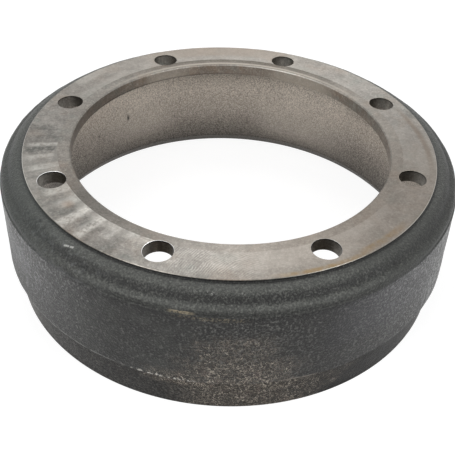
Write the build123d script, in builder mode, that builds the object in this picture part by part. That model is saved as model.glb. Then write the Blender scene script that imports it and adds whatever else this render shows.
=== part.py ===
"""Brake drum for a heavy road vehicle: one grey-iron casting, turned where it mounts and where it brakes.

Millimetres. +Z is the drum's axis, pointing out of the mounting flange. The origin is the centre of the
open rim, so the drum stands on Z = 0 with its flange on top.
"""

from build123d import *
import os

# ---- driving dimensions: the machined interfaces ----
overall_height = 127.0
braking_diameter = 381.0
lining_width = 101.6
pilot_diameter = 293.0
mounting_face_diameter = 375.0
flange_thickness = 11.7
bolt_circle_diameter = 335.0
bolt_hole_diameter = 24.0
bolt_hole_count = 8
first_hole_angle = 22.5

# ---- driving dimensions: turned edges ----
mouth_diameter = 392.6
land_diameter = 315.0
land_drop = 0.9
pilot_chamfer = 1.0
hole_chamfer = 0.25
face_edge_chamfer = 0.4
rim_edge_chamfer = 1.0
inner_corner_radius = 5.3

# ---- driving dimensions: the as-cast outside, as depths below the mounting face ----
wall_top_diameter = 418.0
wall_top_depth = 18.4
parting_diameter = 424.0
parting_depth = 89.4
band_top_diameter = 416.0
rim_diameter = 411.6
face_step_depth = 2.4
shoulder_diameter = 393.8
shoulder_depth = 3.2
groove_diameter = 402.0
groove_depth = 9.4
bead_diameter = 415.4
bead_depth = 11.4
bead_root_depth = 17.4
step_undercut = 2.0

# ---- driving dimensions: the sand mould's round corners ----
step_root_radius = 0.8
shoulder_radius = 10.0
groove_radius = 3.0
bead_radius = 5.0
bead_root_radius = 0.5
wall_edge_radius = 0.7
parting_radius = 0.4
band_root_radius = 1.8

face_height = overall_height


def at(diameter, depth):
    """A profile point: a diameter, and how far it lies below the mounting face."""
    return (diameter / 2, face_height - depth)


# ---- the turned inside: friction surface with a flared mouth, under a flange with a pilot bore ----
friction_end_depth = flange_thickness + inner_corner_radius + lining_width
land_face_diameter = pilot_diameter + 2 * pilot_chamfer

inside = [
    (at(rim_diameter - 2 * rim_edge_chamfer, overall_height), 0),
    (at(mouth_diameter, overall_height), 0),
    (at(braking_diameter, friction_end_depth), 0),
    (at(braking_diameter, flange_thickness), inner_corner_radius),
    (at(pilot_diameter, flange_thickness), 0),
    (at(pilot_diameter, land_drop + pilot_chamfer), 0),
    (at(land_face_diameter, land_drop), 0),
]

# ---- the turned top: a shallow sloping land, then the flat mounting face ----
top = [
    (at(land_diameter, 0), 0),
    (at(mounting_face_diameter - 2 * face_edge_chamfer, 0), 0),
    (at(mounting_face_diameter, face_edge_chamfer), 0),
]

# ---- the as-cast outside: shoulder, groove, bead, drafted wall, parting edge and the narrower rim band ----
outside = [
    (at(mounting_face_diameter, face_step_depth), step_root_radius),
    (at(shoulder_diameter, shoulder_depth), shoulder_radius),
    (at(groove_diameter, groove_depth), groove_radius),
    (at(bead_diameter, bead_depth), bead_radius),
    (at(bead_diameter, bead_root_depth), bead_root_radius),
    (at(wall_top_diameter, wall_top_depth), wall_edge_radius),
    (at(parting_diameter, parting_depth), parting_radius),
    (at(band_top_diameter, parting_depth + step_undercut), band_root_radius),
    (at(rim_diameter, overall_height - rim_edge_chamfer), 0),
]

outline = inside + top + outside

with BuildPart() as brake_drum:
    # Half the drum's section, turned once round its axis.
    with BuildSketch(Plane.XZ) as section:
        with BuildLine():
            FilletPolyline(
                [point for point, radius in outline],
                radius=[radius for point, radius in outline],
                close=True,
            )
        make_face()
    revolve(axis=Axis.Z)

    # Clearance holes for the wheel bolts, drilled through the flange on one circle.
    with BuildSketch(Plane.XY.offset(face_height)):
        with PolarLocations(bolt_circle_diameter / 2, bolt_hole_count, start_angle=first_hole_angle):
            Circle(bolt_hole_diameter / 2)
    extrude(amount=-2 * flange_thickness, mode=Mode.SUBTRACT)

    # Each hole's edge is broken on the mounting face.
    hole_edges = (
        brake_drum.edges()
        .filter_by(GeomType.CIRCLE)
        .filter_by(lambda edge: abs(edge.radius - bolt_hole_diameter / 2) < 0.01)
        .group_by(Axis.Z)[-1]
    )
    chamfer(hole_edges, length=hole_chamfer)

brake_drum.part.label = "brake_drum"

volume_litres = brake_drum.part.volume / 1e6
print("friction surface ends", round(friction_end_depth, 2), "mm below the mounting face")
print("volume", round(volume_litres, 3), "litres, about", round(volume_litres * 7.2, 1), "kg of grey iron")

os.makedirs("parts", exist_ok=True)
export_step(brake_drum.part, "parts/brake_drum.step")
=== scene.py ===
# %% [markdown]
# # A brake drum, turned from one section
# A brake drum is one iron casting. It leaves its sand mould with a rough dark skin, and then a lathe cuts
# the faces that must be true: the flange that meets the hub, the bore that centres it and the inner wall
# that the shoes press on. Almost everything here is therefore round about one axis, and the lesson is to
# draw half a section once, turn it, drill it, and then spend the effort on the skin and the tool marks.

# %% Load the frame
import math
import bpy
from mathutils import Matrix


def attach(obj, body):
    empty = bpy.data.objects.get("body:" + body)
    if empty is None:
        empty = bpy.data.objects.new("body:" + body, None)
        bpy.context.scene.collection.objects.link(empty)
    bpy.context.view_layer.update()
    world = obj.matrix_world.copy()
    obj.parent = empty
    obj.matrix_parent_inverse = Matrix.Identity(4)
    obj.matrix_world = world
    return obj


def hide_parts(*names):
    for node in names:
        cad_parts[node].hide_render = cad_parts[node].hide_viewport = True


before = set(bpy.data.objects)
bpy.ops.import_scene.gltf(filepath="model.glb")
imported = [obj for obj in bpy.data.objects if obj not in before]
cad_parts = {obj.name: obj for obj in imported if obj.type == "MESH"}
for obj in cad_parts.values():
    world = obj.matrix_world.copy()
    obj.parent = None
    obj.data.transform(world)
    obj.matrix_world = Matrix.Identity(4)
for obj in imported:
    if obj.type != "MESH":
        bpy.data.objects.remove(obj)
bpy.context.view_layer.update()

from types import SimpleNamespace

import bmesh
import bpy
from mathutils import Matrix, Quaternion, Vector, noise

MM = 0.001

# %% [markdown]
# ## Camera
# The drum stands on its open rim, flange up. The camera looks down at it by about forty degrees, near
# enough for the front edge to look clearly larger than the back one. Its place is written as a point to
# stand at, a point to look at and a small roll, because those three are easy to change one at a time.

# %% Camera
camera_stands_at = Vector((-0.0412, -0.5477, 0.4804))
camera_looks_at = Vector((0.0145, -0.0541, 0.0635))
camera_roll = math.radians(3.60)

camera = bpy.data.objects.new("camera", bpy.data.cameras.new("camera"))
bpy.context.scene.collection.objects.link(camera)
bpy.context.scene.camera = camera
camera.data.sensor_width = 36.0
camera.data.lens = 55.38
camera.data.shift_x = -0.0466
camera.data.shift_y = 0.0011
camera.data.clip_start = 0.01
camera.data.clip_end = 50.0
camera.location = camera_stands_at
camera.rotation_mode = "QUATERNION"
gaze = (camera_looks_at - camera_stands_at).to_track_quat("-Z", "Y")
camera.rotation_quaternion = gaze @ Quaternion((0, 0, 1), camera_roll)
print("camera is", round((camera_looks_at - camera_stands_at).length, 3), "m from what it looks at")

# %% [markdown]
# ## Half a section
# A turner works from a half section: the outline of one side of the drum, cut through its axis. Each
# corner here has a diameter, a depth below the mounting face, and the radius that rounds it. The first
# half of the list is turned (sharp corners and small chamfers), the second half is the sand mould's (soft
# corners). The corners are rounded with a vertex bevel while the outline is still a flat face. That is
# far cheaper and cleaner than rounding the edges of the finished solid, because each corner is done once,
# not 640 times.

# %% Half a section
face_height = 127.0
flange_thickness = 11.7
braking_diameter = 381.0
bore_diameter = 293.0
bore_chamfer = 1.0
land_diameter = 315.0
land_drop = 0.9
face_diameter = 375.0
face_chamfer = 0.4
bead_diameter = 415.4
wall_top_depth = 18.4
parting_depth = 89.4
inner_corner = 5.3
rim_diameter = 411.6
rim_chamfer = 1.0
half_section = [
    # diameter, depth, corner radius, all in mm
    (rim_diameter - 2 * rim_chamfer, face_height, 0.0),
    (392.6, face_height, 0.0),
    (braking_diameter, 118.6, 0.0),
    (braking_diameter, flange_thickness, inner_corner),
    (bore_diameter, flange_thickness, 0.0),
    (bore_diameter, land_drop + bore_chamfer, 0.0),
    (bore_diameter + 2 * bore_chamfer, land_drop, 0.0),
    (land_diameter, 0.0, 0.0),
    (face_diameter - 2 * face_chamfer, 0.0, 0.0),
    (face_diameter, face_chamfer, 0.0),
    (face_diameter, 2.4, 0.8),
    (393.8, 3.2, 10.0),
    (402.0, 9.4, 3.0),
    (bead_diameter, 11.4, 5.0),
    (bead_diameter, 17.4, 0.5),
    (418.0, wall_top_depth, 0.7),
    (423.8, parting_depth, 0.4),
    (416.0, parting_depth + 2.0, 1.8),
    (rim_diameter, face_height - rim_chamfer, 0.0),
]


def section_point(diameter, depth):
    """A corner of the section in metres, in the plane y = 0."""
    return Vector((diameter / 2 * MM, 0.0, (face_height - depth) * MM))


section = bmesh.new()
corners = [section.verts.new(section_point(d, depth)) for d, depth, radius in half_section]
section.faces.new(corners)

for i, (diameter, depth, radius) in enumerate(half_section):
    if radius == 0.0:
        continue
    here = section_point(diameter, depth)
    before = section_point(*half_section[i - 1][:2])
    after = section_point(*half_section[(i + 1) % len(half_section)][:2])
    turn = (here - before).angle(after - here)
    bmesh.ops.bevel(
        section,
        geom=[corners[i]],
        offset=radius * MM * math.tan(turn / 2),
        segments=max(2, round(math.degrees(turn) * radius ** 0.5 / 20)),
        profile=0.5,
        affect="VERTICES",
        material=-1,
    )
print("section:", len(section.verts), "points after rounding")

# %% [markdown]
# ## Points where the skin needs them
# Later the cast skin is pushed in and out by fractions of a millimetre, which needs points to push. The
# long straight runs of the outline get them now, closely on the cast outside and sparsely on the turned
# inside.

# %% Points where the skin needs them
cast_spacing = 2.1 * MM
turned_spacing = 9.0 * MM
# in mm: the whole outside wall lies beyond this radius, and the shoulder lies above this depth
wall_radius = 203.0
shoulder_end = 20.0
near = 0.1


def is_outside(point):
    """True on the mould's side of the outline, beyond the mounting face's edge."""
    radius = point.x / MM
    depth = face_height - point.z / MM
    on_the_shoulder = radius > face_diameter / 2 + near and depth < shoulder_end
    return on_the_shoulder or radius > wall_radius


for edge in list(section.edges):
    middle = (edge.verts[0].co + edge.verts[1].co) / 2
    spacing = cast_spacing if is_outside(middle) else turned_spacing
    cuts = math.ceil(edge.calc_length() / spacing) - 1
    if cuts > 0:
        bmesh.ops.subdivide_edges(section, edges=[edge], cuts=cuts)
print("section:", len(section.verts), "points after dividing")

# %% [markdown]
# ## Turn it
# A full spin of the outline would be the lathe. The drum repeats every eighth of a turn, one bolt hole in
# each, so only an eighth is spun and the rest are copies of it, which is much quicker: every step of a
# spin handles the whole mesh so far. Merging the doubled points welds the eight seams, and the normals
# are recalculated because a spin may come out inside out.

# %% Turn it
eighths = 8
steps_in_an_eighth = 80
bmesh.ops.delete(section, geom=list(section.faces), context="FACES_ONLY")
bmesh.ops.spin(
    section,
    geom=list(section.verts) + list(section.edges),
    cent=(0, 0, 0),
    axis=(0, 0, 1),
    dvec=(0, 0, 0),
    angle=math.tau / eighths,
    steps=steps_in_an_eighth,
)
bmesh.ops.spin(
    section,
    geom=list(section.verts) + list(section.edges) + list(section.faces),
    cent=(0, 0, 0),
    axis=(0, 0, 1),
    dvec=(0, 0, 0),
    angle=math.tau * (eighths - 1) / eighths,
    steps=eighths - 1,
    use_duplicate=True,
)
bmesh.ops.remove_doubles(section, verts=section.verts, dist=0.01 * MM)
bmesh.ops.recalc_face_normals(section, faces=section.faces)
drum_mesh = bpy.data.meshes.new("brake_drum_casting")
section.to_mesh(drum_mesh)
section.free()
drum = bpy.data.objects.new("brake_drum_casting", drum_mesh)
bpy.context.scene.collection.objects.link(drum)
print("turned:", len(drum_mesh.vertices), "points,", len(drum_mesh.polygons), "faces")

# %% [markdown]
# ## Drill it
# Eight bolt holes go through the flange on one circle, each with its top edge broken by a countersink.
# The drill is turned from its own half section, so one cut makes the hole and the broken edge together. A
# Boolean modifier is the drill press: it leaves clean circles, which moving points by hand would not.

# %% Drill it
hole_count = 8
hole_radius = 12.0 * MM
hole_edge = 0.25 * MM
bolt_circle_radius = 167.5 * MM
first_hole = math.radians(22.5)
drill_steps = 64

drill = bmesh.new()
top = face_height * MM
drill_outline = [
    (0.0, top - 16 * MM),
    (hole_radius, top - 16 * MM),
    (hole_radius, top - hole_edge),
    (hole_radius + 2 * hole_edge, top + hole_edge),
    (0.0, top + hole_edge),
]
points = [drill.verts.new((r, 0.0, z)) for r, z in drill_outline]
for a, b in zip(points, points[1:]):
    drill.edges.new((a, b))
bmesh.ops.spin(
    drill,
    geom=list(drill.verts) + list(drill.edges),
    cent=(0, 0, 0),
    axis=(0, 0, 1),
    dvec=(0, 0, 0),
    angle=math.tau,
    steps=drill_steps,
    use_merge=True,
)
bmesh.ops.remove_doubles(drill, verts=drill.verts, dist=0.001 * MM)
bmesh.ops.translate(drill, verts=drill.verts, vec=(bolt_circle_radius, 0, 0))
bmesh.ops.rotate(drill, verts=drill.verts, cent=(0, 0, 0), matrix=Matrix.Rotation(first_hole, 3, "Z"))
bmesh.ops.spin(
    drill,
    geom=list(drill.verts) + list(drill.edges) + list(drill.faces),
    cent=(0, 0, 0),
    axis=(0, 0, 1),
    dvec=(0, 0, 0),
    angle=math.tau * (hole_count - 1) / hole_count,
    steps=hole_count - 1,
    use_duplicate=True,
)
bmesh.ops.recalc_face_normals(drill, faces=drill.faces)
drill_mesh = bpy.data.meshes.new("drill")
drill.to_mesh(drill_mesh)
drill.free()
drill_object = bpy.data.objects.new("drill", drill_mesh)
bpy.context.scene.collection.objects.link(drill_object)

press = drum.modifiers.new("drill_press", "BOOLEAN")
press.operation = "DIFFERENCE"
press.solver = "EXACT"
press.object = drill_object
drilled = bpy.data.meshes.new_from_object(drum.evaluated_get(bpy.context.evaluated_depsgraph_get()))
drum.modifiers.clear()
drum.data = drilled
drilled.name = "brake_drum_casting"
bpy.data.meshes.remove(drum_mesh)
bpy.data.objects.remove(drill_object)
bpy.data.meshes.remove(drill_mesh)
print("drilled:", len(drilled.vertices), "points,", len(drilled.polygons), "faces")

# %% [markdown]
# ## The skin of the casting
# Sand leaves a skin that is never quite round: slow waves where the mould gave way, small lumps, and pits
# where a grain stuck. The waves and lumps are pushed into the mesh, because they change the outline and
# the shading of the soft corners. They only ever go inwards, so the drum keeps its outer size. Perlin
# noise is read at each point's own place, so the same drum comes out each time.

# %% The skin of the casting
waves_mm = [
    # size of the wave, how deep it is
    (55.0, 0.34),
    (17.0, 0.20),
    (6.5, 0.13),
]
mean_depth = 0.30
run_out_length = 2.5
rim_run_out_length = 4.0
turned_rim = 0.6
skin = bmesh.new()
skin.from_mesh(drum.data)
skin.normal_update()


def skin_depth(place):
    """How far the cast skin lies inside the true outline here, in mm, from nothing up."""
    depth = mean_depth
    for size, height in waves_mm:
        depth += height * noise.noise(place / (size * MM))
    return max(0.0, depth)


def cast_share(place):
    """1 on the cast skin, 0 on turned faces, with a short run-out between them."""
    radius = math.hypot(place.x, place.y) / MM
    depth = face_height - place.z / MM
    past_the_face = radius - face_diameter / 2
    above_the_rim = place.z / MM - turned_rim
    inside = radius < wall_radius and depth > shoulder_end
    if past_the_face < 0.5 * near or above_the_rim < 0.0 or inside:
        return 0.0
    return min(1.0, past_the_face / run_out_length) * min(1.0, above_the_rim / rim_run_out_length)


moved = 0
for vert in skin.verts:
    share = cast_share(vert.co)
    if share > 0.0:
        vert.co -= vert.normal * (skin_depth(vert.co) * share * MM)
        moved += 1
print("skin: moved", moved, "points")

# %% [markdown]
# ## Which surface is which
# One casting, but many finishes. Each face is given a finish by where it lies on the section, before any
# material exists, so that the finishes can be tuned one at a time later.

# %% Which surface is which
finishes = [
    "turned_face",
    "turned_land",
    "cut_edge",
    "drilled_wall",
    "bore_wall",
    "flange_underside",
    "braking_path",
    "cast_shoulder",
    "cast_wall",
    "rim_band",
]
flush = 0.01


def finish_of(face):
    """The finish of a face, from its middle's distance from the axis and its depth below the top."""
    middle = face.calc_center_median()
    radius = math.hypot(middle.x, middle.y) / MM
    depth = face_height - middle.z / MM
    angle = math.atan2(middle.y, middle.x) - first_hole
    nearest_hole = round(angle / (math.tau / hole_count)) * math.tau / hole_count + first_hole
    hole_x = bolt_circle_radius * math.cos(nearest_hole)
    hole_y = bolt_circle_radius * math.sin(nearest_hole)
    from_hole = math.hypot(middle.x - hole_x, middle.y - hole_y) / MM
    steepness = abs(face.normal.z)
    at_a_hole = from_hole < (hole_radius + hole_edge) / MM + near and steepness < 0.95
    at_the_bore = radius < bore_diameter / 2 + bore_chamfer + near
    if at_a_hole and flush < depth < flange_thickness:
        return "drilled_wall" if steepness < 0.3 else "cut_edge"
    if depth < flush:
        return "turned_face"
    if radius < land_diameter / 2 + near and depth < land_drop + near:
        return "turned_land"
    if at_the_bore and depth < land_drop + bore_chamfer + near:
        return "cut_edge"
    if at_the_bore and depth < flange_thickness - near:
        return "bore_wall"
    if radius < face_diameter / 2 + near and depth < face_chamfer:
        return "cut_edge"
    if radius < braking_diameter / 2 - inner_corner + near and depth < flange_thickness + near:
        return "flange_underside"
    if radius > face_diameter / 2 - near and depth < wall_top_depth - near:
        return "cast_shoulder"
    if depth > face_height - near:
        return "flange_underside"
    if radius < wall_radius:
        return "braking_path"
    return "cast_wall" if depth < parting_depth else "rim_band"


counts = dict.fromkeys(finishes, 0)
for face in skin.faces:
    face.smooth = True
    finish = finish_of(face)
    face.material_index = finishes.index(finish)
    counts[finish] += 1
skin.to_mesh(drum.data)
skin.free()
drum.data.set_sharp_from_angle(angle=math.radians(28))
print("faces by finish:", counts)

# %% [markdown]
# ## Two helpers for materials
# Colours are written as the hex values a colour picker shows, and one function turns them into the linear
# light values that Blender computes with. Another adds a node, sets it and links it in one line, so that
# a material reads from top to bottom like a recipe. A finish keeps its node tree together with the four
# things that every pattern on a round casting reads: the place, the direction out from the axis, the
# distance from it, and the height. Turned marks follow the last three, which have no seam.

# %% Two helpers for materials


def linear(hex_colour):
    """An sRGB hex colour as linear red, green, blue and a full alpha."""
    channels = [int(hex_colour[i:i + 2], 16) / 255 for i in (1, 3, 5)]
    return [c / 12.92 if c <= 0.04045 else ((c + 0.055) / 1.055) ** 2.4 for c in channels] + [1.0]


def node(tree, kind, inputs=None, **settings):
    """Adds one node. A setting is an attribute. An input is a value, an output, or a node to link from."""
    made = tree.nodes.new("ShaderNode" + kind)
    for name, value in settings.items():
        setattr(made, name, value)
    for socket, value in (inputs or {}).items():
        if isinstance(value, bpy.types.Node):
            value = next(output for output in value.outputs if output.enabled)
        if isinstance(value, bpy.types.NodeSocket):
            tree.links.new(value, made.inputs[socket])
        else:
            made.inputs[socket].default_value = value
    return made


def new_finish(name):
    """An empty material, and what the patterns on it read."""
    material = bpy.data.materials.new(name)
    material.use_nodes = True
    tree = material.node_tree
    tree.nodes.clear()
    place = node(tree, "TexCoord").outputs["Object"]
    flat = node(tree, "VectorMath", {0: place, 1: (1, 1, 0)}, operation="MULTIPLY")
    return SimpleNamespace(
        material=material,
        tree=tree,
        place=place,
        outwards=node(tree, "VectorMath", {0: flat}, operation="NORMALIZE").outputs["Vector"],
        radius=node(tree, "VectorMath", {0: flat}, operation="LENGTH").outputs["Value"],
        height=node(tree, "SeparateXYZ", {0: place}).outputs["Z"],
    )


# %% [markdown]
# ## Grain and tool marks
# A texture's scale is one over the size of its features, so every pattern states its size in millimetres.
# Sand grain is plain noise, cut off at two levels so that it stands out. Tool marks are noise too, read
# in the lathe's own directions. Dust that has dried in the grain lies in thin curls, which are the lines
# along which a noise crosses its own middle value.

# %% Grain and tool marks


def speckle(finish, size_mm, low, high, detail=3.0, roughness=0.6):
    """Noise of one size, sharpened: 0 under low, 1 over high."""
    grain = {"Vector": finish.place, "Scale": 1 / (size_mm * MM), "Detail": detail, "Roughness": roughness}
    return node(finish.tree, "MapRange", {0: node(finish.tree, "TexNoise", grain), 1: low, 2: high})


def lathe_marks(finish, length, along_mm, across_mm, low, high, at_radius=167.0):
    """Noise this long round the axis, and this wide in radius or in height, sharpened in the same way."""
    tree = finish.tree
    stretch = {0: finish.outwards, "Scale": at_radius / along_mm}
    turned = node(tree, "VectorMath", stretch, operation="SCALE")
    across = node(tree, "Math", {0: length, 1: 1 / (across_mm * MM)}, operation="MULTIPLY")
    lift = node(tree, "CombineXYZ", {"Z": across})
    where = node(tree, "VectorMath", {0: turned, 1: lift}, operation="ADD")
    marks = node(tree, "TexNoise", {"Vector": where, "Scale": 1.0, "Detail": 3.0})
    return node(tree, "MapRange", {0: marks, 1: low, 2: high})


def curls(finish, size_mm, width):
    """Thin curled lines, 1 along their middle and 0 at their edges."""
    tree = finish.tree
    grain = {"Vector": finish.place, "Scale": 1 / (size_mm * MM), "Detail": 2.0, "Distortion": 0.6}
    off_middle = node(tree, "Math", {0: node(tree, "TexNoise", grain), 1: 0.5}, operation="SUBTRACT")
    distance = node(tree, "Math", {0: off_middle}, operation="ABSOLUTE")
    return node(tree, "MapRange", {0: distance, 1: width, 2: 0.4 * width})


# %% [markdown]
# ## Places
# A mark has a place on the drum: a direction from the axis in degrees, a ring or a height, or a spot.
# Each of these is a mask from 0 to 1. Masks are multiplied to find where they overlap, and colours are
# laid over each other by them, as thin coats of paint are.

# %% Places


def towards(finish, azimuth, reach):
    """1 in one direction from the axis, fading to 0 at this many degrees to either side."""
    bearing = math.radians(azimuth)
    aim = (math.cos(bearing), math.sin(bearing), 0)
    facing = node(finish.tree, "VectorMath", {0: finish.outwards, 1: aim}, operation="DOT_PRODUCT")
    limits = {0: facing, 1: math.cos(math.radians(reach)), 2: 1.0}
    return node(finish.tree, "MapRange", limits, interpolation_type="SMOOTHSTEP")


def overlap(finish, *masks):
    """The product of masks, and of any plain share among them."""
    product = masks[0]
    for mask in masks[1:]:
        product = node(finish.tree, "Math", {0: product, 1: mask}, operation="MULTIPLY")
    return product


def between(finish, length, low_mm, high_mm, soft_mm):
    """1 where a radius or a height lies between two values, with soft edges outside them."""
    edges = [(low_mm - soft_mm, low_mm), (high_mm + soft_mm, high_mm)]
    return overlap(finish, *[
        node(finish.tree, "MapRange", {0: length, 1: a * MM, 2: b * MM}, interpolation_type="SMOOTHSTEP")
        for a, b in edges
    ])


def on_ring(finish, azimuth, reach, low_mm, high_mm, soft_mm):
    """1 in one direction from the axis, between two radii."""
    ring = between(finish, finish.radius, low_mm, high_mm, soft_mm)
    return overlap(finish, towards(finish, azimuth, reach), ring)


def at_height(finish, azimuth, reach, low_mm, high_mm, soft_mm):
    """1 in one direction from the axis, between two heights."""
    level = between(finish, finish.height, low_mm, high_mm, soft_mm)
    return overlap(finish, towards(finish, azimuth, reach), level)


def spot(finish, middle_mm, reach_mm, stretch=(1, 1, 1)):
    """1 at a spot, fading to 0 at a distance from it. A stretch of 0.5 makes it twice as long that way."""
    middle = [v * MM * s for v, s in zip(middle_mm, stretch)]
    place = node(finish.tree, "VectorMath", {0: finish.place, 1: stretch}, operation="MULTIPLY")
    distance = node(finish.tree, "VectorMath", {0: place, 1: middle}, operation="DISTANCE")
    limits = {0: distance, 1: reach_mm * MM, 2: 0.0}
    return node(finish.tree, "MapRange", limits, interpolation_type="SMOOTHSTEP")


def layered(finish, colour, *coats):
    """A colour with coats laid over it, each a colour and the share of it that covers."""
    under = linear(colour) if isinstance(colour, str) else colour
    for coat, share in coats:
        under = node(finish.tree, "Mix", {0: share, 6: under, 7: linear(coat)}, data_type="RGBA")
    return under


def complete(finish, bumps, **shader_values):
    """The shader, under bumps that are (pattern, depth in mm) pairs, each laid on the one before."""
    inputs = {name.replace("_", " "): value for name, value in shader_values.items()}
    for pattern, depth in bumps:
        below = {"Normal": inputs["Normal"]} if "Normal" in inputs else {}
        inputs["Normal"] = node(finish.tree, "Bump", {"Height": pattern, "Distance": depth * MM, **below})
    shader = node(finish.tree, "BsdfPrincipled", {"Base Color": finish.colour, **inputs})
    node(finish.tree, "OutputMaterial", {"Surface": shader})


# %% [markdown]
# ## Grey iron, turned
# The mounting face is cut by a lathe tool that feeds outwards, so it carries fine rings, and the light
# smears across them: that is anisotropy, stretched outwards from the axis. Grey iron also holds graphite,
# which dulls it in specks, and hands and damp leave clouds, some green-grey and some brown. Turning rings
# are about 0.4 mm apart, too fine to show here, so they are drawn four times as coarse. All the turned
# finishes start from this one recipe and lay their own marks over it.

# %% Grey iron, turned


def turned_iron(name, dark, light, brown=0.45):
    """A turned finish: clouded, ringed and specked."""
    iron = new_finish(name)
    iron.rings = lathe_marks(iron, iron.radius, 60.0, 1.6, 0.40, 0.65)
    iron.graphite = speckle(iron, 1.8, 0.40, 0.66)
    iron.colour = layered(
        iron, dark,
        (light, speckle(iron, 15.0, 0.36, 0.64)),
        (light, overlap(iron, iron.rings, 0.30)),
        ("#8F7C6B", overlap(iron, speckle(iron, 29.0, 0.5, 0.66), brown)),
        ("#737A75", overlap(iron, speckle(iron, 21.0, 0.52, 0.66), 0.40)),
        ("#B7B3AC", overlap(iron, speckle(iron, 4.5, 0.48, 0.64), 0.20)),
        ("#62615C", overlap(iron, speckle(iron, 5.2, 0.50, 0.36), 0.24)),
        ("#4C4945", overlap(iron, iron.graphite, 0.32)),
        ("#D2CEC7", overlap(iron, speckle(iron, 1.6, 0.52, 0.70), 0.22)),
    )
    return iron


def complete_iron(iron, roughness=0.55):
    """Bare iron that smears light outwards over its rings."""
    complete(
        iron, [(iron.rings, 0.02), (iron.graphite, 0.02)],
        Tangent=iron.outwards, Roughness=roughness, Metallic=1.0, Anisotropic=0.75,
    )


# %% [markdown]
# ## Chatter on the mounting face
# On one side the tool chattered against the flange. It left short radial bars, dull where it dug in and
# bright where it skipped, and bright nicks where the flat face begins. A lathe's chatter comes at its own
# rhythm, but the bars that catch the eye are few, so each has its direction and width written down. Fine
# rings cut across all of them, which the shared recipe already has.

# %% Chatter on the mounting face
dull_bars = [
    # direction and half width in degrees, where it starts and ends, how dull
    (-192.0, 1.6, 158.0, 170.0, 0.24),
    (-185.6, 1.6, 166.0, 184.0, 0.50),
    (-180.2, 1.2, 160.0, 184.0, 0.34),
    (-173.4, 1.8, 162.0, 182.0, 0.86),
    (-167.4, 0.9, 160.0, 184.0, 0.36),
    (-161.4, 1.8, 178.0, 187.0, 0.44),
    (-155.6, 1.2, 178.0, 187.0, 0.34),
    (-149.0, 1.8, 168.0, 187.0, 0.60),
    (-143.2, 1.9, 163.0, 184.0, 0.66),
    (-136.4, 1.4, 156.0, 172.0, 0.52),
    (-130.6, 1.0, 160.0, 186.0, 0.26),
    (-124.0, 1.4, 158.0, 186.0, 0.30),
]
bright_bars = [
    (-176.3, 0.9, 158.0, 180.0, 0.30),
    (-170.2, 0.8, 163.0, 180.0, 0.30),
    (-164.6, 1.0, 158.0, 178.0, 0.34),
    (-152.2, 1.5, 150.0, 174.0, 0.36),
    (-145.8, 1.5, 150.0, 172.0, 0.44),
    (-140.2, 1.4, 150.0, 162.0, 0.40),
    (-139.2, 1.4, 160.0, 186.0, 0.44),
    (-134.0, 1.9, 150.0, 160.0, 0.42),
    (-133.2, 1.4, 160.0, 186.0, 0.44),
    (-127.4, 1.4, 150.0, 172.0, 0.34),
    (-121.4, 1.3, 150.0, 159.0, 0.42),
    (-117.2, 1.2, 150.0, 158.0, 0.44),
]
iron = turned_iron("turned_face", "#807C77", "#9A9690", 0.30)
broken = speckle(iron, 3.4, 0.32, 0.62)
for tint, bars in (("#454643", dull_bars), ("#E8E5DE", bright_bars)):
    for azimuth, half_width, start, end, share in bars:
        bar = on_ring(iron, azimuth, 1.6 * half_width, start, end, 7.0)
        iron.colour = layered(iron, iron.colour, (tint, overlap(iron, bar, broken, share)))
chatter = lathe_marks(iron, iron.radius, 4.5, 50.0, 0.52, 0.36)
start_of_face = on_ring(iron, -131.0, 24.0, 157.0, 163.0, 5.0)
iron.colour = layered(
    iron, iron.colour,
    ("#50514E", overlap(iron, towards(iron, -152.0, 50.0), chatter, broken, 0.34)),
    ("#CFCBC3", overlap(iron, start_of_face, 0.18)),
)
print("chatter bars:", len(dull_bars), "dull,", len(bright_bars), "bright")

# %% [markdown]
# ## Rust, damp and handling on the mounting face
# The front was rubbed by shallow arcs, too fine to see singly, so they are drawn at nearly 2 mm. Rust has
# crept in from the outer edge on one side, and a thin brown tide line follows it further round. The right
# side has browned, the back is a little duller, and one faint bloom of rust lies among the chatter bars.
# In front, a painted sheen lightens the inner edge and fades outwards, and a painted shade darkens the
# outer edge.

# %% Rust, damp and handling on the mounting face
arc_pitch = 1.9 * MM
arc_centre = (22.0 * MM, -211.0 * MM, face_height * MM)
tide_centre = (0.0, -11.5 * MM, face_height * MM)
from_arc_centre = node(iron.tree, "VectorMath", {0: iron.place, 1: arc_centre}, operation="DISTANCE")
turns = node(iron.tree, "Math", {0: from_arc_centre, 1: math.tau / arc_pitch}, operation="MULTIPLY")
unevenness = {0: speckle(iron, 9.0, 0.2, 0.8), 1: 9.0, 2: turns}
uneven = node(iron.tree, "Math", unevenness, operation="MULTIPLY_ADD")
waves = node(iron.tree, "Math", {0: uneven}, operation="SINE")
arcs = node(iron.tree, "MapRange", {0: waves, 1: -0.4, 2: 1.0})
rubbed = on_ring(iron, -98.0, 17.0, 150.0, 178.0, 12.0)
rubbed = overlap(iron, rubbed, speckle(iron, 11.0, 0.30, 0.60))

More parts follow.
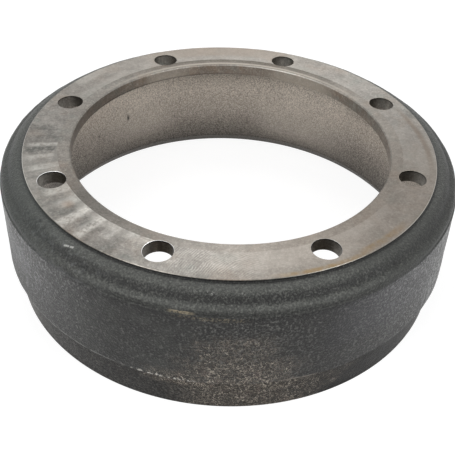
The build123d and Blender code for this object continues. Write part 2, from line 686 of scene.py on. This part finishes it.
ragged = speckle(iron, 5.0, 0.25, 0.6)
edge_rust = overlap(iron, on_ring(iron, -71.0, 15.0, 184.8, 188.0, 3.0), ragged)
inner_rust = overlap(iron, on_ring(iron, -52.0, 11.0, 181.5, 183.5, 3.5), ragged)
from_tide_centre = {0: iron.place, 1: tide_centre}
tide_ring = node(iron.tree, "VectorMath", from_tide_centre, operation="DISTANCE").outputs["Value"]
tide_line = overlap(iron, towards(iron, 0.0, 22.0), between(iron, tide_ring, 179.6, 180.4, 4.4))
iron.colour = layered(
    iron, iron.colour,
    ("#E4E0D8", overlap(iron, arcs, rubbed, 0.26)),
    ("#3F3E3B", overlap(iron, towards(iron, -113.0, 28.0), 0.09)),
    # painted sheen: lighter along the inner edge in front, fading outwards
    ("#E2DDD4", overlap(iron, on_ring(iron, -77.0, 28.0, 150.0, 159.0, 30.0), 0.19)),
    ("#DAD7CF", overlap(iron, towards(iron, -157.0, 24.0), 0.14)),
    ("#D2CEC6", overlap(iron, on_ring(iron, 143.0, 20.0, 158.0, 163.0, 6.0), 0.18)),
    ("#D8D5CD", overlap(iron, on_ring(iron, 140.0, 8.0, 179.0, 188.0, 4.0), 0.24)),
    ("#D2CEC6", overlap(iron, on_ring(iron, 72.0, 62.0, 157.0, 161.0, 7.0), 0.08)),
    ("#D2CEC6", overlap(iron, on_ring(iron, 0.0, 30.0, 157.0, 163.0, 7.0), 0.05)),
    ("#90857A", overlap(iron, towards(iron, -45.0, 65.0), 0.42)),
    ("#8C7C6D", overlap(iron, on_ring(iron, 92.0, 30.0, 171.0, 190.0, 8.0), 0.45)),
    ("#C5C1BA", overlap(iron, towards(iron, 27.0, 24.0), 0.12)),
    ("#C5C1BA", overlap(iron, towards(iron, -5.0, 18.0), 0.14)),
    # painted sheen along the inner edge at the right front
    ("#C8C3BB", overlap(iron, on_ring(iron, -50.0, 12.0, 150.0, 162.0, 9.0), 0.14)),
    ("#8D8881", overlap(iron, towards(iron, 102.0, 72.0), 0.42)),
    # painted shade: the outer edge darker in front
    ("#3F3E3B", overlap(iron, on_ring(iron, -112.0, 30.0, 182.0, 190.0, 9.0), 0.13)),
    ("#8A7450", overlap(iron, edge_rust, 0.72)),
    ("#8A7350", overlap(iron, inner_rust, 0.55)),
    ("#6F5D4A", overlap(iron, tide_line, 0.42)),
    ("#9C7A5C", overlap(iron, spot(iron, (-137.5, -97.5, 127.0), 8.0), 0.30)),
)
complete_iron(iron)
turned_face = iron.material
print("turned face:", len(iron.tree.nodes), "nodes")

# %% [markdown]
# ## The sloping land and the broken edges
# The land round the bore slopes down by less than a millimetre, so it is cut by the same tool and takes
# the same recipe. A painted shade darkens it at the left front, and a faint painted highlight lightens its
# front. It is browner at the back, where a painted highlight runs along its inner edge. A broken edge
# carries a painted highlight where it faces a lamp, and the rest of it is worn dull.

# %% The sloping land and the broken edges
iron = turned_iron("turned_land", "#847F79", "#98938C", 0.30)
at_the_back = towards(iron, 85.0, 68.0)
iron.colour = layered(
    iron, iron.colour,
    # painted shade: darker at the left front
    ("#494642", overlap(iron, on_ring(iron, -129.0, 36.0, 149.0, 190.0, 4.0), 0.44)),
    # painted highlight: faintly lighter at the front
    ("#E2DDD4", overlap(iron, towards(iron, -92.0, 40.0), 0.06)),
    ("#494642", overlap(iron, towards(iron, -148.0, 10.0), speckle(iron, 6.0, 0.3, 0.6), 0.20)),
    ("#4E473F", overlap(iron, towards(iron, 70.0, 20.0), 0.14)),
    ("#4E473F", overlap(iron, at_the_back, 0.58)),
    # painted highlight along the inner edge at the back
    ("#D6CFC3", overlap(iron, at_the_back, between(iron, iron.radius, 149.5, 150.5, 2.0), 0.28)),
    ("#47433D", overlap(iron, at_the_back, between(iron, iron.radius, 156.8, 158.0, 1.6), 0.16)),
    ("#8C8074", overlap(iron, towards(iron, -42.0, 70.0), 0.34)),
    ("#C9C4BB", overlap(iron, towards(iron, 16.0, 32.0), 0.10)),
)
complete_iron(iron)
turned_land = iron.material

iron = turned_iron("cut_edge", "#7C7771", "#8E8982")
at_the_bore = between(iron, iron.radius, 100.0, 150.0, 2.0)
at_the_rim = between(iron, iron.radius, 186.0, 220.0, 1.0)
iron.colour = layered(
    iron, iron.colour,
    # painted highlights: each of these coats lightens the broken edges where they face a lamp
    ("#EFEBE3", overlap(iron, at_the_bore, towards(iron, 60.0, 36.0), 0.14)),
    ("#E9E6DF", overlap(iron, at_the_rim, towards(iron, -176.0, 34.0), 0.60)),
    ("#D9D5CD", overlap(iron, at_the_rim, towards(iron, -26.0, 30.0), 0.50)),
    ("#FFFFFF", overlap(iron, on_ring(iron, -130.0, 80.0, 153.0, 182.0, 1.0), 0.95)),
)
complete_iron(iron, 0.42)
cut_edge = iron.material

# %% [markdown]
# ## The drilled and the bored walls
# The bolt holes are drilled dry, so their walls are torn and a dull dark grey, with a painted shadow just
# under the top edge. The pilot bore has browned. Two painted reflections of the side lamps lighten it
# right and left of the back, and its left side is the darkest.

# %% The drilled and the bored walls
iron = turned_iron("drilled_wall", "#726E68", "#88847D", 0.1)
iron.colour = layered(
    iron, iron.colour,
    ("#2A2826", overlap(iron, lathe_marks(iron, iron.height, 5.0, 30.0, 0.60, 0.40), 0.34)),
    ("#8B867E", overlap(iron, lathe_marks(iron, iron.height, 3.0, 30.0, 0.52, 0.68), 0.16)),
    # painted shadow just under the top edge
    ("#0D0C0B", overlap(iron, between(iron, iron.height, 125.8, 128.0, 0.6), 0.55)),
)
complete_iron(iron, 0.50)
drilled_wall = iron.material

iron = turned_iron("bore_wall", "#746A60", "#83786D")
iron.colour = layered(
    iron, iron.colour,
    # painted reflections of the side lamps, right and left of the back
    ("#BDB5A8", overlap(iron, towards(iron, 56.0, 20.0), 0.42)),
    ("#B5AEA2", overlap(iron, towards(iron, 115.0, 13.0), 0.34)),
    ("#3B332D", overlap(iron, towards(iron, 160.0, 36.0), 0.46)),
    ("#2A2521", overlap(iron, at_height(iron, 120.0, 50.0, 115.0, 115.9, 1.2), 0.5)),
)
complete_iron(iron, 0.50)
bore_wall = iron.material

iron = turned_iron("flange_underside", "#7C766F", "#98928A")
complete_iron(iron, 0.46)
flange_underside = iron.material

# %% [markdown]
# ## The wall the shoes press on
# The braking path is bored, then left with a dry sandy grain and a first breath of brown rust. It is
# duller than the face, so it is only partly metal to the eye. The grain is under a millimetre, drawn
# coarser so that it shows. Painted light makes it lighter towards the top, with two painted reflections
# right and left of the back and a painted light band high at the back. Painted shadow darkens all of the
# wall close under the flange, and painted shade darkens the mouth below the path, which faces down. It is
# darker in three low stretches, and grease and dust have darkened its left side. The three pits are
# blowholes in the iron.

# %% The wall the shoes press on
iron = new_finish("braking_path")
sand = speckle(iron, 1.3, 0.42, 0.58, 2.0)
dark_sand = speckle(iron, 1.4, 0.44, 0.60, 2.0)
streaks = lathe_marks(iron, iron.height, 2.4, 9.0, 0.40, 0.64, 190.5)
# painted light: lighter towards the top
painted_light_upwards = node(iron.tree, "MapRange", {0: iron.height, 1: 10 * MM, 2: 80 * MM})
grainy = node(iron.tree, "MapRange", {0: iron.height, 1: 4 * MM, 2: 75 * MM, 3: 0.15, 4: 1.0})
worn = node(iron.tree, "MapRange", {0: towards(iron, 155.0, 45.0), 3: 1.0, 4: 0.9})
grainy = overlap(iron, grainy, worn)
cloudy = speckle(iron, 34.0, 0.30, 0.68, 1.0)
iron.colour = layered(
    iron, "#3F3A35",
    ("#C3B7AA", painted_light_upwards),
    # painted reflections, right and left of the back
    ("#E9DFD2", overlap(iron, at_height(iron, 59.0, 24.0, 30.0, 130.0, 28.0), 0.30)),
    ("#E9DFD2", overlap(iron, at_height(iron, 121.0, 17.0, 40.0, 130.0, 30.0), 0.26)),
    # darker in three low stretches
    ("#3F3C37", overlap(iron, at_height(iron, 93.0, 26.0, -9.0, 14.0, 34.0), 0.46)),
    ("#3A3733", overlap(iron, at_height(iron, 26.0, 34.0, -9.0, 26.0, 36.0), 0.52)),
    ("#47443F", overlap(iron, at_height(iron, 150.0, 32.0, -9.0, 26.0, 50.0), 0.40)),
    ("#24211D", overlap(iron, towards(iron, 174.0, 34.0), 0.80)),
    ("#6D625C", overlap(iron, cloudy, 0.16)),
    # painted shadow under the flange
    ("#2E2B28", overlap(iron, between(iron, iron.height, 100.0, 130.0, 16.0), 0.60)),
    # painted light: a light band high at the back
    ("#E9DFD2", overlap(iron, at_height(iron, 96.0, 26.0, 74.0, 92.0, 12.0), 0.20)),
    ("#F0E7DB", overlap(iron, sand, grainy, 0.56)),
    ("#45403B", overlap(iron, dark_sand, grainy, 0.50)),
    ("#D9CDBF", overlap(iron, streaks, grainy, 0.14)),
    ("#2E2925", overlap(iron, at_height(iron, 35.0, 14.0, 78.0, 110.0, 6.0), 0.22)),
    # painted shade on the mouth, which faces down
    ("#2B2721", overlap(iron, between(iron, iron.height, -9.0, 7.8, 0.8), 0.40)),
    ("#2F2C28", overlap(iron, between(iron, iron.height, 9.2, 9.9, 1.0), 0.28)),
    ("#171412", overlap(iron, spot(iron, (-108.8, 156.4, 53.2), 2.6, (1, 1, 0.45)), 0.95)),
    ("#241F1C", overlap(iron, spot(iron, (-140.0, 129.2, 45.1), 2.2, (1, 1, 0.7)), 0.60)),
    ("#2A2521", overlap(iron, spot(iron, (-56.1, 182.1, 40.5), 1.6), 0.60)),
)
complete(iron, [(sand, 0.12), (dark_sand, 0.08)], Roughness=0.6, Metallic=0.35)
braking_path = iron.material

# %% [markdown]
# ## Cast skins
# Sand leaves grey iron with a dark skin of oxide and burnt binder. Each part of the mould gave its own:
# the shoulder was moulded smooth and is a cool grey. Painted shade darkens the step, the groove, the
# crease under the bead and the lower part of the bead on the left, and painted highlights lighten the
# crown of the shoulder and the top of the bead. The bead is blotched at the left front, and a painted
# highlight lightens its foot in two places, where it faces the side lamps. A few specks, a smear and one
# scratch show that it was handled. The recipe that all the skins share is a mottled colour with a dark
# grain and a light one.

# %% Cast skins


def sand_skin(name, dark, light, mottle_mm, grain_mm):
    """The grey under a cast skin, mottled and grained."""
    skin = new_finish(name)
    skin.grain = speckle(skin, grain_mm, 0.3, 0.7)
    skin.colour = layered(
        skin, dark,
        (light, speckle(skin, mottle_mm, 0.3, 0.7)),
        ("#0B0B0A", overlap(skin, speckle(skin, 0.9 * grain_mm, 0.47, 0.38), 0.66)),
        ("#84857F", overlap(skin, speckle(skin, grain_mm, 0.55, 0.66), 0.34)),
    )
    return skin


skin = sand_skin("cast_shoulder", "#2F302E", "#3F413E", 30.0, 1.9)
front = towards(skin, -88.0, 62.0)
right = towards(skin, -18.0, 50.0)
groove_ring = between(skin, skin.radius, 198.6, 200.8, 2.9)
groove = overlap(skin, groove_ring, between(skin, skin.height, 112.0, 119.4, 4.0))
crease = at_height(skin, -92.0, 50.0, 100.0, 109.6, 5.8)
step = between(skin, skin.radius, 186.0, 188.4, 1.3)
foot_of_bead = overlap(skin, between(skin, skin.height, 100.0, 109.0, 2.4), speckle(skin, 3.0, 0.25, 0.50))
bead = between(skin, skin.radius, 196.0, 220.0, 4.0)
blotched = overlap(skin, bead, speckle(skin, 4.2, 0.52, 0.64))
scabbed = overlap(skin, bead, speckle(skin, 5.4, 0.48, 0.36))
bead_top_highlight = between(skin, skin.radius, 205.0, 206.4, 1.8)
bead_top_highlight = overlap(skin, bead_top_highlight, between(skin, skin.height, 114.4, 116.0, 1.6))
sharp_bead = between(skin, skin.radius, 196.0, 220.0, 3.0)
smear = at_height(skin, -103.2, 3.2, 109.5, 111.0, 0.9)
smear = overlap(skin, smear, speckle(skin, 2.6, 0.38, 0.54))
few_specks = at_height(skin, -96.0, 9.0, 120.4, 122.4, 0.8)
few_specks = overlap(skin, few_specks, speckle(skin, 2.0, 0.61, 0.68))
skin.colour = layered(
    skin, skin.colour,
    ("#747570", overlap(skin, speckle(skin, 1.6, 0.50, 0.60), 0.36)),
    ("#151614", overlap(skin, speckle(skin, 1.5, 0.50, 0.40), 0.48)),
    # painted highlight on the crown of the shoulder
    ("#9B9D97", overlap(skin, between(skin, skin.radius, 190.5, 194.5, 3.0), 0.10)),
    # painted highlight on the top of the bead in front
    ("#A5A7A1", overlap(skin, bead_top_highlight, towards(skin, -94.0, 66.0), 0.07)),
    # painted shade in and beside the step
    ("#0A0A0A", overlap(skin, between(skin, skin.radius, 186.0, 188.6, 4.2), 0.22)),
    ("#0A0A0A", overlap(skin, step, speckle(skin, 5.0, 0.10, 0.50), 0.85)),
    ("#5E625F", overlap(skin, on_ring(skin, -146.0, 26.0, 189.5, 198.0, 3.0), 0.12)),
    ("#10100F", overlap(skin, towards(skin, -172.0, 40.0), 0.20)),
    # painted shade in the groove
    ("#060606", overlap(skin, groove, 0.36)),
    ("#050505", overlap(skin, groove, front, 0.76)),
    # painted shade in the crease under the bead
    ("#060606", overlap(skin, crease, 0.66)),
    # painted shade on the lower part of the bead at the left
    ("#0F100F", overlap(skin, at_height(skin, -166.0, 34.0, 111.4, 113.8, 2.0), 0.40)),
    # painted highlight on the bead's foot, where it faces the left lamp
    ("#8C8D8F", overlap(skin, towards(skin, -135.0, 15.0), foot_of_bead, 0.26)),
    ("#77797A", overlap(skin, towards(skin, -138.0, 22.0), blotched, 0.30)),
    ("#131413", overlap(skin, towards(skin, -138.0, 22.0), scabbed, 0.40)),
    # painted highlight on the bead's foot, where it faces the right lamp
    ("#8C8D8F", overlap(skin, towards(skin, -48.0, 14.0), foot_of_bead, 0.26)),
    ("#10100F", overlap(skin, right, sharp_bead, 0.38)),
    ("#10100F", overlap(skin, right, 0.18)),
    ("#10100F", overlap(skin, front, 0.10)),
    ("#10100F", overlap(skin, right, between(skin, skin.radius, 191.0, 200.0, 3.0), 0.12)),
    ("#7F807B", overlap(skin, speckle(skin, 1.5, 0.52, 0.62), 0.13)),
    ("#070707", overlap(skin, speckle(skin, 1.7, 0.48, 0.38), 0.22)),
    ("#3C413E", overlap(skin, towards(skin, -160.0, 30.0), 0.42)),
    ("#2B2D2B", overlap(skin, towards(skin, -48.0, 24.0), 0.30)),
    ("#8B8C86", overlap(skin, front, sharp_bead, speckle(skin, 1.7, 0.54, 0.63), 0.22)),
    ("#C8C8C2", overlap(skin, few_specks, 0.42)),
    ("#B3A68C", overlap(skin, smear, 0.66)),
    ("#0A0A0A", overlap(skin, spot(skin, (-157.2, -114.2, 124.0), 2.8), 0.90)),
    ("#101110", overlap(skin, spot(skin, (-153.4, -121.6, 124.0), 3.2), 0.60)),
    ("#050505", overlap(skin, spot(skin, (117.2, -163.1, 118.4), 3.4), 0.95)),
)
scratch = [
    # a row of spots along it, down the curve of the shoulder
    (-134.8, -142.6, 123.0),
    (-133.4, -143.2, 123.2),
    (-132.0, -143.9, 123.4),
    (-129.8, -145.1, 123.6),
    (-128.4, -145.8, 123.7),
]
for place in scratch:
    skin.colour = layered(skin, skin.colour, ("#D4D4D0", overlap(skin, spot(skin, place, 1.5), 0.80)))
complete(skin, [(skin.grain, 0.3)], Roughness=0.46, Specular_IOR_Level=0.3)
cast_shoulder = skin.material

# %% [markdown]
# ## Dust in the grain of the front
# Brown dust has dried in thin curls in the grain of the wall and the rim. It lies in five patches that
# run into each other: three up the wall, each wider than the one above it, and two on the rim. A coarse
# noise is added to the patches before their edge is cut, which makes the edge wander. The curls are drawn
# about a millimetre wide, as thin as will show.

# %% Dust in the grain of the front
dust_patches = [
    # direction and reach in degrees, from and to which height and how softly it ends in mm, how thick
    (-92.0, 13.0, 40.0, 82.0, 16.0, 0.66),
    (-91.0, 18.0, 34.0, 58.0, 14.0, 0.90),
    (-95.0, 22.0, 30.0, 44.0, 9.0, 1.00),
    (-88.0, 23.0, -5.0, 34.0, 7.0, 0.76),
    (-72.0, 15.0, 12.0, 30.0, 8.0, 0.38),
]


def dusted(skin):
    """Lays the dust over a skin."""
    tree = skin.tree
    dusty = 0.0
    for azimuth, reach, low, high, soft, thickness in dust_patches:
        patch = overlap(skin, at_height(skin, azimuth, reach, low, high, soft), thickness)
        dusty = node(tree, "Math", {0: dusty, 1: patch}, operation="MAXIMUM")
    wandering = node(tree, "Math", {0: speckle(skin, 16.0, 0.25, 0.75), 1: dusty}, operation="ADD")
    dusty = overlap(skin, dusty, node(tree, "MapRange", {0: wandering, 1: 0.55, 2: 1.15}))
    patchy = speckle(skin, 7.0, 0.36, 0.58)
    skin.colour = layered(
        skin, skin.colour,
        ("#3A332C", overlap(skin, dusty, 0.50)),
        ("#DACFBF", overlap(skin, curls(skin, 4.2, 0.016), dusty, patchy, 1.0)),
        ("#BDB3A3", overlap(skin, curls(skin, 3.2, 0.016), dusty, 0.76)),
        ("#A38E84", overlap(skin, speckle(skin, 9.0, 0.56, 0.66), dusty, 0.12)),
    )


# %% [markdown]
# ## The blasted wall, the parting edge and the rim
# The wall was blasted with grit, which frosts it with light grains and dark pits. On the flanks the frost
# shows the most, and a painted sheen lightens the skin and its frost, with a soft painted sheen on the
# left and a speckled one high on the left. The flanks are rubbed in streaks, some along the wall and some
# up it, and white in one place on the right. A painted shade darkens the top of the wall in front, under
# the bead. In two directions the frosting is calmer. At the parting edge the two halves of the mould left
# a thin flash that has been rubbed bright, a line on the left that breaks up into flecks towards the
# front. The rim below it is darker, and a painted sheen lightens its grain at both sides.

# %% The blasted wall, the parting edge and the rim
skin = sand_skin("cast_wall", "#191817", "#292827", 26.0, 1.9)
frost = speckle(skin, 1.9, 0.48, 0.59, 3.0, 0.65)
rubs = lathe_marks(skin, skin.height, 3.0, 15.0, 0.46, 0.64, 210.0)
rubs = overlap(skin, rubs, speckle(skin, 2.2, 0.36, 0.56))
scuffs = lathe_marks(skin, skin.height, 16.0, 4.0, 0.52, 0.68, 210.0)
left_rises = node(skin.tree, "MapRange", {0: skin.height, 1: 20 * MM, 2: 90 * MM})
left_flank = overlap(skin, towards(skin, -167.0, 50.0), left_rises)
right_rises = node(skin.tree, "MapRange", {0: skin.height, 1: 10 * MM, 2: 100 * MM})
right_flank = overlap(skin, towards(skin, -23.0, 50.0), right_rises)
flank_frost_and_sheen = node(skin.tree, "Math", {0: left_flank, 1: right_flank}, operation="MAXIMUM")
calm_places = {0: towards(skin, -113.0, 18.0), 1: towards(skin, -66.0, 17.0)}
calm = node(skin.tree, "Math", calm_places, operation="MAXIMUM")
busy = node(skin.tree, "MapRange", {0: calm, 3: 1.0, 4: 0.35})
streaks_up = lathe_marks(skin, skin.height, 2.2, 30.0, 0.50, 0.66, 210.0)
streaks_up = overlap(skin, streaks_up, at_height(skin, -152.0, 17.0, 62.0, 104.0, 16.0))
white_rub = at_height(skin, -31.0, 9.0, 46.0, 72.0, 12.0)
top_of_left = at_height(skin, -169.0, 17.0, 84.0, 110.0, 14.0)
painted_left_sheen = spot(skin, (-181.5, -105.0, 82.0), 34.0, (1, 1, 1.4))
flash = overlap(skin, between(skin, skin.height, 37.2, 38.4, 1.0), speckle(skin, 6.0, 0.30, 0.50))
flecks = overlap(skin, at_height(skin, -107.0, 11.0, 36.4, 39.4, 1.4), speckle(skin, 2.9, 0.53, 0.60))
crease_dots = at_height(skin, -97.0, 9.0, 106.0, 109.0, 1.5)
skin.colour = layered(
    skin, skin.colour,
    ("#9C9C98", overlap(skin, frost, busy, 0.26)),
    # painted sheen on the flanks, over their frost
    ("#838382", overlap(skin, flank_frost_and_sheen, 0.42)),
    ("#CACACA", overlap(skin, frost, flank_frost_and_sheen, 0.54)),
    ("#080808", overlap(skin, speckle(skin, 1.7, 0.49, 0.39), busy, 0.44)),
    ("#50504F", overlap(skin, calm, 0.10)),
    ("#C4C5C6", overlap(skin, scuffs, flank_frost_and_sheen, 0.14)),
    ("#D4D5D5", overlap(skin, rubs, towards(skin, -22.0, 25.0), 0.74)),
    ("#6A6B78", overlap(skin, at_height(skin, -56.0, 22.0, 76.0, 115.0, 22.0), 0.10)),
    ("#7E7F80", overlap(skin, flank_frost_and_sheen, speckle(skin, 10.0, 0.50, 0.62), 0.16)),
    ("#4A4C48", overlap(skin, towards(skin, -118.0, 26.0), speckle(skin, 15.0, 0.46, 0.60), 0.34)),
    ("#0C0C0C", overlap(skin, towards(skin, -118.0, 30.0), speckle(skin, 9.0, 0.48, 0.36), 0.34)),
    ("#C4C5C8", overlap(skin, streaks_up, speckle(skin, 5.0, 0.35, 0.60), 0.52)),
    ("#C9CACA", overlap(skin, white_rub, frost, 0.60)),
    ("#0A0A0A", overlap(skin, flank_frost_and_sheen, speckle(skin, 2.4, 0.43, 0.35), 0.66)),
    ("#161616", overlap(skin, flank_frost_and_sheen, speckle(skin, 8.0, 0.50, 0.38), 0.22)),
    # painted sheen, soft, on the left
    ("#A8A9AD", overlap(skin, painted_left_sheen, 0.20)),
    # painted sheen in specks, high on the left
    ("#D3D4D6", overlap(skin, top_of_left, speckle(skin, 2.4, 0.36, 0.58), 0.50)),
    # painted shade at the top of the wall in front, under the bead
    ("#050505", overlap(skin, at_height(skin, -92.0, 44.0, 106.5, 112.0, 2.6), 0.50)),
)
dusted(skin)
skin.colour = layered(
    skin, skin.colour,
    ("#A5A5A2", overlap(skin, flash, towards(skin, -134.0, 19.0), 0.62)),
    ("#9D9488", overlap(skin, flash, towards(skin, -78.0, 5.0), 0.60)),
    ("#E0DCD4", overlap(skin, flecks, 0.84)),
    ("#A09681", overlap(skin, crease_dots, speckle(skin, 1.7, 0.50, 0.60), 0.46)),
)
complete(skin, [(skin.grain, 0.5), (frost, 0.3)], Roughness=0.46, Specular_IOR_Level=0.3)
cast_wall = skin.material

skin = sand_skin("rim_band", "#12110F", "#1F1C1A", 20.0, 1.8)
grain_sheen = speckle(skin, 2.4, 0.36, 0.58)
skin.colour = layered(
    skin, skin.colour,
    ("#7A756F", overlap(skin, speckle(skin, 2.0, 0.50, 0.64), 0.30)),
    # painted sheen on the grain at both sides
    ("#B3B1AD", overlap(skin, towards(skin, -174.0, 32.0), grain_sheen, 0.50)),
    ("#B3B1AD", overlap(skin, towards(skin, -12.0, 27.0), grain_sheen, 0.40)),
    ("#060505", overlap(skin, towards(skin, -122.0, 40.0), speckle(skin, 12.0, 0.3, 0.6), 0.35)),
    ("#060505", overlap(skin, towards(skin, -60.0, 34.0), 0.80)),
    ("#B9B6B1", overlap(skin, towards(skin, -150.0, 30.0), speckle(skin, 2.2, 0.54, 0.66), 0.24)),
)
dusted(skin)
complete(skin, [(skin.grain, 0.4)], Roughness=0.46, Specular_IOR_Level=0.14)
rim_band = skin.material

finish_materials = {
    "turned_face": turned_face,
    "turned_land": turned_land,
    "cut_edge": cut_edge,
    "drilled_wall": drilled_wall,
    "bore_wall": bore_wall,
    "flange_underside": flange_underside,
    "braking_path": braking_path,
    "cast_shoulder": cast_shoulder,
    "cast_wall": cast_wall,
    "rim_band": rim_band,
}
for finish in finishes:
    drum.data.materials.append(finish_materials[finish])
print("materials:", len(drum.data.materials))

# %% [markdown]
# ## Soft studio light
# A plain white surround, a broad lamp high behind and one to either side of the camera. Shiny iron shows
# what stands round it, so the rays that it reflects see the same white that the camera does.

# %% Soft studio light
world = bpy.data.worlds.new("white_surround")
bpy.context.scene.world = world
world.use_nodes = True
world.node_tree.nodes.clear()


def seen_directly(tree):
    """1 for rays from the camera, and for those reflected or let through on the way to it."""
    path = node(tree, "LightPath").outputs
    seen = node(tree, "Math", {0: path["Is Camera Ray"], 1: path["Is Glossy Ray"]}, operation="MAXIMUM")
    return node(tree, "Math", {0: seen, 1: path["Is Transmission Ray"]}, operation="MAXIMUM")


tree = world.node_tree
surround_light = 0.30
strength = node(tree, "Mix", {0: seen_directly(tree), 2: surround_light, 3: 1.0}, data_type="FLOAT")
surround = node(tree, "Background", {"Color": (1, 1, 1, 1), "Strength": strength})
node(tree, "OutputWorld", {"Surface": surround})


def soft_lamp(name, place, target, size, power):
    """A round area lamp that faces a target."""
    lamp = bpy.data.objects.new(name, bpy.data.lights.new(name, "AREA"))
    lamp.data.shape = "DISK"
    lamp.data.size = size
    lamp.data.energy = power
    lamp.location = place
    lamp.rotation_euler = (Vector(target) - Vector(place)).to_track_quat("-Z", "Y").to_euler()
    bpy.context.scene.collection.objects.link(lamp)


soft_lamp("overhead_softbox", (-0.1, 0.6, 1.6), (0, 0, 0.1), 1.0, 9.0)
soft_lamp("left_softbox", (-1.27, -1.36, 1.25), (0, 0, 0.1), 1.0, 17.0)
soft_lamp("right_softbox", (1.40, -1.22, 1.25), (0, 0, 0.1), 1.0, 15.5)

# %% [markdown]
# ## Floor
# A plain pale floor that the camera sees as nearly white by itself, so that the background stays white
# and only the drum's own shadow darkens it.

# %% Floor
floor_shape = bmesh.new()
bmesh.ops.create_grid(floor_shape, x_segments=1, y_segments=1, size=4.0)
floor_mesh = bpy.data.meshes.new("floor")
floor_shape.to_mesh(floor_mesh)
floor_shape.free()
floor = bpy.data.objects.new("floor", floor_mesh)
bpy.context.scene.collection.objects.link(floor)

white_floor = bpy.data.materials.new("white_floor")
white_floor.use_nodes = True
tree = white_floor.node_tree
tree.nodes.clear()
paint = node(tree, "BsdfDiffuse", {"Color": (0.75, 0.75, 0.75, 1)})
thin_paint = node(tree, "BsdfDiffuse", {"Color": (0.25, 0.25, 0.25, 1)})
glow = node(tree, "Emission", {"Color": (1, 1, 1, 1), "Strength": 0.88})
bright = node(tree, "AddShader", {0: thin_paint, 1: glow})
surface = node(tree, "MixShader", {0: seen_directly(tree), 1: paint, 2: bright})
node(tree, "OutputMaterial", {"Surface": surface})
floor.data.materials.append(white_floor)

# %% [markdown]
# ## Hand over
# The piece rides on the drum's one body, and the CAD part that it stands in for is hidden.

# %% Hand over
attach(drum, "root")
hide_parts("brake_drum")
bpy.context.scene.view_settings.view_transform = "Standard"
